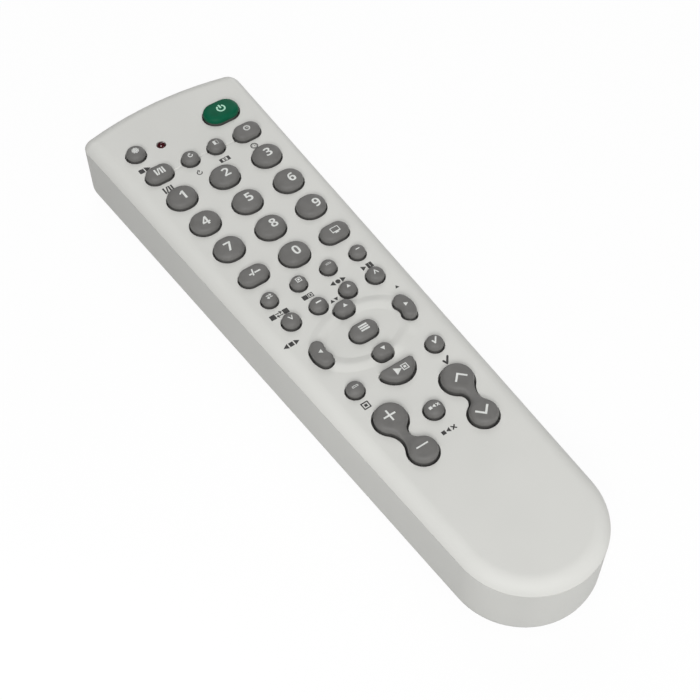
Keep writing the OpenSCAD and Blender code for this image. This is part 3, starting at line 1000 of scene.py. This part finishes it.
@dataclass
class BatteryCell:
    """AAA cell: a printed sleeve, an unprinted steel base and the nub."""

    node: str
    nub_to: End
    nub_d: float = 3.8
    nub_l: float = 1.0
    nub_round: float = 0.15
    nub_flare: float = 0.4
    nub_rise: float = 0.1
    rim: float = 0.35
    base_in: float = 0.7
    base_up: float = 0.05
    top_in: float = 0.9
    top_down: float = 0.1
    lip_down: float = 0.02
    can_in: float = 0.75
    can_round: float = 0.05
    can_up: float = 0.1
    tip: float = 11.0
    line: float = 0.4
    colour: Colour = (32, 33, 35)
    shade: Colour = (40, 41, 43)
    tip_colour: Colour = (196, 120, 44)
    line_colour: Colour = (206, 206, 200)
    gloss: tuple[float, float] = (0.2, 0.32)

    def jacket(self, start: float, body: float) -> StripedSleeve:
        """Draws the sleeve's print: dark, with a bright band at the nub's end and a pale line beside it.

        Args:
            start: where the cell's base lies along Y.
            body: the sleeve's length.

        Returns:
            The sleeve's finish.
        """
        way = self.nub_to.value
        mark = start + way * (body - self.tip / 2)
        return StripedSleeve(self.node + "_print", self.colour, self.shade, gloss=self.gloss,
                             stripes=((mark, self.tip / 2, self.tip_colour),
                                      (mark - way * self.tip / 2, self.line, self.line_colour)))

    def build(self) -> None:
        """Builds the sleeve and the steel can."""
        low, high = (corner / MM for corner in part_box(self.node))
        radius = (high.x - low.x) / 2
        length = high.y - low.y
        body = length - self.nub_l
        middle = (low + high) / 2
        start = low.y if self.nub_to is End.HEAD else high.y
        place = (Matrix.Translation(Vector((middle.x, start, middle.z)) * MM)
                 @ Matrix.Rotation(-self.nub_to.value * math.pi / 2, 4, "X"))
        sleeve = lathe([(0, self.rim), (radius - self.base_in, self.rim), (radius - self.rim, self.base_up),
                        (radius, self.rim), (radius, body - self.rim),
                        (radius - self.rim, body - self.lip_down),
                        (radius - self.top_in, body - self.top_down), (0, body - self.top_down)])
        wall, nub = radius - self.can_in, self.nub_d / 2
        can = lathe([(0, 0), (wall - self.can_round, 0), (wall, self.can_up), (wall, body - self.can_round),
                     (nub + self.nub_flare, body), (nub, body + self.nub_rise),
                     (nub, length - self.nub_round), (nub - self.nub_round, length), (0, length)])
        for bm in (sleeve, can):
            bmesh.ops.transform(bm, matrix=place, verts=bm.verts)
        piece = add_piece(self.node + "_sleeve", sleeve, self.jacket(start, body), CASE)
        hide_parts(self.node)
        add_piece(self.node + "_can", can, STEEL, CASE)


@dataclass(frozen=True)
class Lamp:
    """A soft square lamp: its place and its side in metres, and its power in watts."""

    name: str
    eye: Place
    size: float
    power: float


@dataclass
class Studio:
    """Camera at the photo's angle, a pale floor and soft lamps; places are in metres."""

    lens: float = 72.0
    near: float = 0.01
    eye: Place = (-0.11991, -0.17333, 0.28656)
    aim: Place = (-0.005589, -0.012082, 0.019907)
    floor: float = 4.0
    sunk: float = 0.05
    paper_lit: Colour = (140, 140, 140)
    paper_seen: Colour = (240, 240, 240)
    white: float = 0.93
    sky: float = 0.12
    lamps: tuple[Lamp, ...] = (
        Lamp("key_lamp", (-0.55, -0.80, 1.06), 0.9, 19.5),
        Lamp("fill_lamp", (0.35, 0.6, 0.8), 0.7, 3.3),
        Lamp("side_lamp", (-0.5, -0.25, 0.35), 0.3, 0.25),
        Lamp("rim_lamp", (0.5, 0.5, 0.07), 0.12, 0.65),
        Lamp("tail_lamp", (0.45, -0.48, 0.05), 0.1, 1.0),
        Lamp("wall_lamp", (-0.13, -0.055, 0.03), 0.05, 0.022),
    )

    def toward(self, name: str, data: bpy.types.ID, eye: Vector, aim: Vector) -> bpy.types.Object:
        """Adds a camera or lamp that looks at a point.

        Args:
            name: its name.
            data: camera or lamp data.
            eye: where it stands.
            aim: what it looks at.

        Returns:
            The object.
        """
        thing = bpy.data.objects.new(name, data)
        thing.location = eye
        thing.rotation_euler = (aim - eye).to_track_quat("-Z", "Y").to_euler()
        bpy.context.scene.collection.objects.link(thing)
        return thing

    def shine(self, lamp: Lamp) -> None:
        """Sets up a lamp that the camera doesn't see.

        Args:
            lamp: the lamp.
        """
        light = bpy.data.lights.new(lamp.name, "AREA")
        light.size = lamp.size
        light.energy = lamp.power
        thing = self.toward(lamp.name, light, Vector(lamp.eye), Vector(self.aim))
        thing.visible_camera = False

    def seen(self, tree: bpy.types.NodeTree) -> bpy.types.NodeSocket:
        """Tells rays that show the background from rays that light the object.

        Args:
            tree: the nodes to add to.

        Returns:
            A factor that is 1 for rays from the camera, mirrors and clear resin.
        """
        path = tree.nodes.new("ShaderNodeLightPath")
        shown = path.outputs["Is Camera Ray"]
        for name in ("Is Glossy Ray", "Is Transmission Ray"):
            either = tree.nodes.new("ShaderNodeMath")
            either.operation = "MAXIMUM"
            tree.links.new(shown, either.inputs[0])
            tree.links.new(path.outputs[name], either.inputs[1])
            shown = either.outputs[0]
        return shown

    def mix(self, factor: bpy.types.NodeSocket, low: bpy.types.Node, high: bpy.types.Node) -> bpy.types.Node:
        """Mixes two shaders.

        Args:
            factor: 0 gives the low shader, 1 the high one.
            low: shader at 0.
            high: shader at 1.

        Returns:
            The mixed shader.
        """
        tree = low.id_data
        node = tree.nodes.new("ShaderNodeMixShader")
        for source, socket in zip((factor, low.outputs[0], high.outputs[0]), node.inputs):
            tree.links.new(source, socket)
        return node

    def paper(self) -> bpy.types.Material:
        """Makes the floor's paper: white to look at, grey to the light and clear from below.

        Returns:
            The material, which keeps a shadow.
        """
        material = bpy.data.materials.new("floor_paper")
        material.use_nodes = True
        tree = material.node_tree
        tree.nodes.remove(tree.nodes["Principled BSDF"])
        seen = self.seen(tree)
        tint = tree.nodes.new("ShaderNodeMix")
        tint.data_type = "RGBA"
        tint.inputs[MIX_LOW].default_value = linear(self.paper_lit)
        tint.inputs[MIX_HIGH].default_value = linear(self.paper_seen)
        tree.links.new(seen, tint.inputs[MIX_FACTOR])
        matt = tree.nodes.new("ShaderNodeBsdfDiffuse")
        tree.links.new(tint.outputs[MIX_RESULT], matt.inputs["Color"])
        share = tree.nodes.new("ShaderNodeMath")
        share.operation = "MULTIPLY"
        share.inputs[1].default_value = self.white
        tree.links.new(seen, share.inputs[0])
        upper = self.mix(share.outputs[0], matt, tree.nodes.new("ShaderNodeEmission"))
        below = tree.nodes.new("ShaderNodeNewGeometry").outputs["Backfacing"]
        whole = self.mix(below, upper, tree.nodes.new("ShaderNodeBsdfTransparent"))
        tree.links.new(whole.outputs[0], tree.nodes["Material Output"].inputs["Surface"])
        return material

    def ground(self) -> None:
        """Lays the floor."""
        bm = bmesh.new()
        bmesh.ops.create_grid(bm, x_segments=1, y_segments=1, size=self.floor / 2,
                              matrix=Matrix.Translation((0, 0, -self.sunk * MM)))
        mesh = bpy.data.meshes.new("floor")
        bm.to_mesh(mesh)
        bm.free()
        mesh.materials.append(self.paper())
        floor = bpy.data.objects.new("floor", mesh)
        bpy.context.scene.collection.objects.link(floor)

    def backdrop(self) -> None:
        """Makes the sky: white to the camera, dim to all else."""
        world = bpy.data.worlds.new("sky")
        world.use_nodes = True
        tree = world.node_tree
        sky = tree.nodes["Background"]
        sky.inputs["Color"].default_value = linear(WHITE)
        level = tree.nodes.new("ShaderNodeMapRange")
        level.inputs["To Min"].default_value = self.sky
        path = tree.nodes.new("ShaderNodeLightPath")
        tree.links.new(path.outputs["Is Camera Ray"], level.inputs["Value"])
        tree.links.new(level.outputs["Result"], sky.inputs["Strength"])
        bpy.context.scene.world = world

    def build(self) -> None:
        """Sets up the camera, the floor, the sky and the lamps."""
        scene = bpy.context.scene
        camera = bpy.data.cameras.new("camera")
        camera.lens = self.lens
        camera.clip_start = self.near
        scene.camera = self.toward("camera", camera, Vector(self.eye), Vector(self.aim))
        scene.view_settings.view_transform = "Standard"
        self.ground()
        self.backdrop()
        for lamp in self.lamps:
            self.shine(lamp)
        LOG.info("studio: floor, sky and %d lamps", len(self.lamps))


DIGITS = (Mark("𝟭", 2.8, 0.15, -0.4), Mark("𝟮", 2.8, 0.5, 0.1), Mark("𝟯", 2.8, 0.4, -0.1),
          Mark("𝟰", 2.8, -0.1, -0.45), Mark("𝟱", 2.8, 0.6, 0.1), Mark("𝟲", 2.8, 0.7, -0.4),
          Mark("𝟳", 2.8, -0.15, -0.25), Mark("𝟴", 2.8, 0.85, -0.1), Mark("𝟵", 2.8, 1.3, -0.55))
ZERO = Mark("𝟬", 2.8, 0.5, -0.1)

KEYS: tuple[RubberKey, ...] = (
    RubberKey("key_power", (Mark("⏻", 2.7, 0.1, 0.0, 0.03),), POWER, POWER_INK, "key_green"),
    ButtonKey("key_set", (Mark("⚙", 2.0, 0.0, 0.0, 0.03),)),
    RubberKey("key_dual_sound", (Mark("I/II", 2.7, 0.1, -0.2, 0.03),)),
    ButtonKey("key_system", (Mark("↻", 1.7, 0.0, 0.0, 0.03),)),
    ButtonKey("key_picture_mode", (Mark("◧", 1.4, 0.0, 0.0),)),
    RubberKey("key_timer", (Mark("🕒", 1.9, 0.1, 0.0, 0.03),)),
    *[RubberKey(f"key_{number}", (digit,)) for number, digit in enumerate(DIGITS, 1)],
    RubberKey("key_0", (ZERO,)),
    RubberKey("key_dash", (Mark("-/--", 3.2, 0.2, 0.0, 0.04),)),
    RubberKey("key_recall", (Mark("🖵", 2.4, 0.1, -0.3, 0.01),)),
    ButtonKey("key_exchange", (Mark("⇄", 1.6, 0.0, 0.0, 0.03),)),
    ButtonKey("key_inset", (Mark("▣", 1.4, 0.0, 0.0, 0.02),)),
    ButtonKey("key_normal", (Mark("▭", 1.4, 0.0, 0.0, 0.02),)),
    ButtonKey("key_call", (Mark("−", 1.1, 0.0, 0.0, 0.03),)),
    ButtonKey("key_chevron_down", (Mark("∨", 1.4, 0.0, 0.0, 0.03),)),
    ButtonKey("key_bar", (Mark("−", 1.5, 0.0, 0.0, 0.03),)),
    ButtonKey("key_triangle", (Mark("▲", 1.1, 0.0, 0.0),)),
    ButtonKey("key_chevron_up", (Mark("∧", 1.4, 0.0, 0.0, 0.03),)),
    RubberKey("key_nav_up", (Mark("▲", 1.2, 0.1, -0.1),), slack=0.25),
    RubberKey("key_nav_down", (Mark("▼", 1.2, 0.1, -0.1),), slack=0.25),
    BeanKey("key_nav_left", (Mark("◀", 1.2, -0.2, -0.1),)),
    BeanKey("key_nav_right", (Mark("▶", 1.2, 0.0, -0.1),)),
    RubberKey("key_menu", (Mark("☰", 2.4, 0.1, 0.1, 0.02),)),
    MoonKey("key_source", (Mark("▶▣", 3.6, 0.2, 0.0, 0.02),)),
    ButtonKey("key_window", (Mark("▭", 1.6, 0.0, 0.0, 0.02),)),
    ButtonKey("key_confirm", (Mark("✔", 1.8, 0.0, 0.0),)),
    ButtonKey("key_mute", (Mark("■◀✖", 2.9, 0.0, 0.0),)),
    RockerKey("rocker_volume", (Mark("＋", 3.2, -0.5, 5.4, 0.02), Mark("−", 3.2, 0.7, -5.3, -0.015))),
    RockerKey("rocker_channel", (Mark("⌃", 3.7, 0.4, 4.9), Mark("⌄", 3.9, -1.0, -6.0))),
)

FACE_MARKS = (
    Mark("■▶", 3.4, -15.5, 66.8, 0.02), Mark("I/II", 2.8, -14.0, 57.3, 0.03),
    Mark("↻", 2.0, -4.3, 57.9, 0.03), Mark("◧◨", 3.0, 3.7, 58.0, 0.03),
    Mark("🕒", 2.1, 12.7, 57.7, 0.03), Mark("■⇄■", 5.2, -13.35, 6.5, 0.03),
    Mark("■▣", 3.0, -4.6, 7.1, 0.03), Mark("◀●▶", 4.6, 4.1, 6.7),
    Mark("▶ℹ", 3.2, 12.8, 6.5, 0.02), Mark("◀■▶", 4.5, -16.0, -2.7),
    Mark("▲▼", 2.5, 0.0, 2.4), Mark("▲", 1.1, 14.9, -2.9),
    Mark("✔", 2.2, 11.3, -27.7, 0.02), Mark("▣", 2.0, -11.8, -27.2, 0.03),
    Mark("■◀✖", 4.0, -0.3, -43.6),
)

PARTS = (
    SolidPart("bottom_shell", SHELL, "shell_white"),
    SolidPart("battery_door", SHELL, "shell_white", "battery_door"),
    SolidPart("keypad_mat", MAT, "mat_rubber", edge=0.0),
    SolidPart("circuit_board", BOARD, "board", edge=0.0),
    SolidPart("ir_led", IR_LENS, "clear_resin", edge=0.05),
    SolidPart("indicator_led", RED_LENS, "red_lens", edge=0.05),
    SolidPart("controller_chip", RESIN, "black_epoxy", edge=0.0),
    SolidPart("resonator", CERAMIC, "ceramic_tan"),
    SolidPart("capacitor", CAN, "sleeve_dark"),
    SolidPart("transistor", RESIN, "black_epoxy", edge=0.1),
    SolidPart("resistors", BANDED, "ceramic_tan", edge=0.1),
    SolidPart("battery_springs", STEEL, "spring_steel", edge=0.0, sharp=60.0),
    SolidPart("battery_plates", STEEL, "spring_steel", edge=0.06),
    SolidPart("case_screws", ZINC, "spring_steel", edge=0.06),
)


def main() -> None:
    """Builds the case, the keys, the inside and the studio."""
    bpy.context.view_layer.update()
    cover = SolidPart("top_shell", SHELL, "shell_white").build()
    ground = BVHTree.FromPolygons([v.co for v in cover.data.vertices],
                                  [p.vertices for p in cover.data.polygons])
    for number, mark in enumerate(FACE_MARKS):
        Print().lay(f"face_print_{number}", mark, Vector(), ground, FACE_INK, CASE)
    for part in PARTS:
        part.build()
    for key in KEYS:
        key.build()
    BatteryCell("battery_cell_left", End.HEAD).build()
    BatteryCell("battery_cell_right", End.TAIL).build()
    Studio().build()


if __name__ == "__main__":
    logging.basicConfig(level=logging.INFO, format="%(message)s")
    main()
